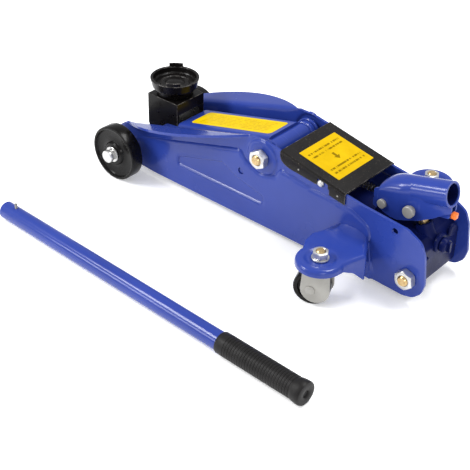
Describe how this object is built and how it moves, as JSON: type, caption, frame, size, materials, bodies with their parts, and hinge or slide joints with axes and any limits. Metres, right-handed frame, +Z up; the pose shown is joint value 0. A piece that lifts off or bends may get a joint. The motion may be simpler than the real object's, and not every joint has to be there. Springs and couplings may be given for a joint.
{
  "type": "trolley jack",
  "caption": "Low hydraulic trolley jack with pressed side plates, lift arm and round saddle, rear casters and a tilting pump socket, its pump handle lying beside it.",
  "frame": {"origin": "middle of the bottom of the bounding box, on the floor", "axes": "+X from the front axle back to the handle socket, along the jack; +Y across it, away from the loose handle; +Z up"},
  "size_m": [0.4646, 0.3836, 0.1357],
  "materials": {
    "blue_paint": "gloss",
    "black_paint": "satin",
    "zinc": "satin",
    "yellow_zinc": "satin",
    "steel": "satin",
    "black_plastic": "satin",
    "rubber": "matte",
    "orange_plastic": "gloss"
  },
  "bodies": {
    "frame": {"side_plate_right": "blue_paint", "side_plate_left": "blue_paint", "front_axle": "zinc", "axle_spacer_right": "steel", "axle_spacer_left": "steel", "axle_washer_right": "zinc", "axle_washer_left": "zinc", "axle_cap_right": "zinc", "axle_cap_left": "zinc", "lift_shaft": "yellow_zinc", "lift_shaft_nut_right": "zinc", "lift_shaft_nut_left": "zinc", "rear_bolt": "yellow_zinc", "rear_nut_right": "zinc", "rear_nut_left": "zinc", "link_anchor_pin_right": "steel", "link_anchor_pin_left": "steel", "cover_plate": "black_paint", "cover_screw_right": "zinc", "cover_screw_left": "zinc", "power_unit_base": "blue_paint", "reservoir_tube": "blue_paint", "filler_plug": "rubber", "ram_gland": "steel", "hydraulic_cylinder": "steel", "return_spring_right": "steel", "return_spring_left": "steel", "caster_bracket_right": "blue_paint", "caster_bracket_left": "blue_paint", "caster_bolt_right": "yellow_zinc", "caster_bolt_left": "yellow_zinc", "caster_nut_right": "zinc", "caster_nut_left": "zinc", "socket_pivot_bolt": "zinc"},
    "lift_arm": {"lift_arm": "blue_paint", "lever_pin": "steel"},
    "saddle_bracket": {"saddle_bracket": "black_paint", "saddle_pivot_pin": "steel", "link_front_pin": "steel"},
    "saddle": {"saddle": "black_paint"},
    "link_rods": {"link_rod_left": "steel", "link_rod_right": "steel"},
    "ram": {"ram_rod": "zinc"},
    "front_wheel_left": {"front_wheel_left": "black_plastic"},
    "front_wheel_right": {"front_wheel_right": "black_plastic"},
    "caster_fork_left": {"caster_fork_left": "zinc", "caster_axle_left": "zinc"},
    "caster_fork_right": {"caster_fork_right": "zinc", "caster_axle_right": "zinc"},
    "caster_wheel_left": {"caster_wheel_left": "black_plastic"},
    "caster_wheel_right": {"caster_wheel_right": "black_plastic"},
    "handle_socket": {"handle_socket": "blue_paint", "plunger_pin": "zinc", "socket_plug": "orange_plastic"},
    "pump_plunger": {"pump_plunger": "yellow_zinc"},
    "release_valve": {"release_valve": "blue_paint"},
    "pump_handle": {"handle_tube": "blue_paint", "handle_grip": "rubber", "handle_lock_pin": "steel"}
  },
  "joints": [
    {"name": "arm_lift", "type": "hinge", "parent": "frame", "child": "lift_arm", "pos_m": [0.00825, 0.06036, 0.098], "axis": [0, 1, 0], "range_deg": [0, 68], "deforming": ["return_spring_left", "return_spring_right"]},
    {"name": "bracket_level", "type": "hinge", "parent": "lift_arm", "child": "saddle_bracket", "pos_m": [-0.15175, 0.06036, 0.06], "axis": [0, 1, 0], "range_deg": [-68, 0]},
    {"name": "link_swing", "type": "hinge", "parent": "frame", "child": "link_rods", "pos_m": [-0.02075, 0.06036, 0.069], "axis": [0, 1, 0], "range_deg": [0, 68]},
    {"name": "ram_stroke", "type": "slide", "parent": "frame", "child": "ram", "axis": [-1, 0, 0], "range_m": [0, 0.056]},
    {"name": "saddle_turn", "type": "hinge", "parent": "saddle_bracket", "child": "saddle", "pos_m": [-0.16775, 0.06036, 0.1], "axis": [0, 0, 1], "continuous": true},
    {"name": "front_wheel_left_roll", "type": "hinge", "parent": "frame", "child": "front_wheel_left", "pos_m": [-0.19775, -0.01014, 0.0345], "axis": [0, 1, 0], "continuous": true},
    {"name": "front_wheel_right_roll", "type": "hinge", "parent": "frame", "child": "front_wheel_right", "pos_m": [-0.19775, 0.13086, 0.0345], "axis": [0, 1, 0], "continuous": true},
    {"name": "caster_swivel_left", "type": "hinge", "parent": "frame", "child": "caster_fork_left", "pos_m": [0.13925, -0.04464, 0.05], "axis": [0, 0, 1], "continuous": true},
    {"name": "caster_swivel_right", "type": "hinge", "parent": "frame", "child": "caster_fork_right", "pos_m": [0.13925, 0.16536, 0.05], "axis": [0, 0, 1], "continuous": true},
    {"name": "caster_roll_left", "type": "hinge", "parent": "caster_fork_left", "child": "caster_wheel_left", "pos_m": [0.13369, -0.04689, 0.02], "axis": [-0.3746, 0.9272, 0], "continuous": true},
    {"name": "caster_roll_right", "type": "hinge", "parent": "caster_fork_right", "child": "caster_wheel_right", "pos_m": [0.13369, 0.16761, 0.02], "axis": [0.3746, 0.9272, 0], "continuous": true},
    {"name": "socket_pump", "type": "hinge", "parent": "frame", "child": "handle_socket", "pos_m": [0.15225, 0.06036, 0.088], "axis": [0, -1, 0], "range_deg": [0, 40]},
    {"name": "plunger_stroke", "type": "slide", "parent": "frame", "child": "pump_plunger", "axis": [-0.4633, 0, 0.8862], "range_m": [0, 0.0233]},
    {"name": "release_turn", "type": "hinge", "parent": "frame", "child": "release_valve", "pos_m": [0.21425, 0.06236, 0.057], "axis": [1, 0, 0], "range_deg": [-180, 0]},
    {"name": "handle_lift_off", "type": "slide", "parent": "frame", "child": "pump_handle", "axis": [0, 0, 1], "range_m": [0, 0.3]}
  ],
  "couplings": [
    {"joint": "bracket_level", "follows": "arm_lift", "ratio": -1},
    {"joint": "link_swing", "follows": "arm_lift", "ratio": 1},
    {"joint": "ram_stroke", "follows": "arm_lift", "m_per_rad": 0.047101},
    {"joint": "plunger_stroke", "follows": "socket_pump", "m_per_rad": 0.033232}
  ]
}
